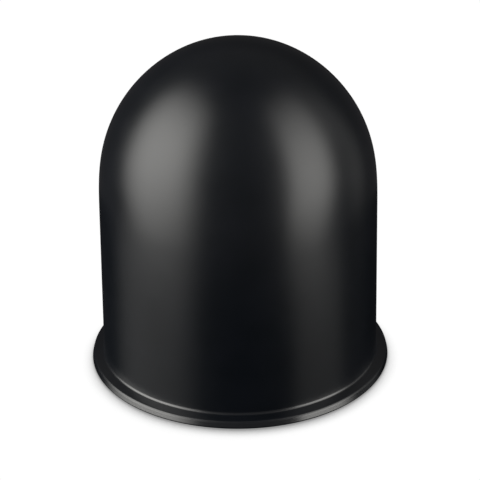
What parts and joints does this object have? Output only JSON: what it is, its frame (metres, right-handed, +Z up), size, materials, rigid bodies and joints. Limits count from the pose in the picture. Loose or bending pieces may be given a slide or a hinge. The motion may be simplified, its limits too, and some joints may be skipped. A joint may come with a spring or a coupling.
{
  "type": "tow ball cover",
  "caption": "Domed push-on cap for a 50 mm tow ball: a thin tapered wall with a straight land inside, a rounded crown and a sloping flange at the foot.",
  "frame": {"origin": "middle of the mouth, on the plane that the foot of the flange stands on", "axes": "+Z up along the axis of the dome, from the open mouth to the closed crown; the part is turned about Z, so X and Y have no direction of their own"},
  "size_m": [0.0614, 0.0614, 0.0681],
  "materials": {
    "black_plastic": "plain black moulded plastic with a soft satin gloss, new and clean"
  },
  "bodies": {
    "root": {"cover": "black_plastic"}
  },
  "joints": []
}
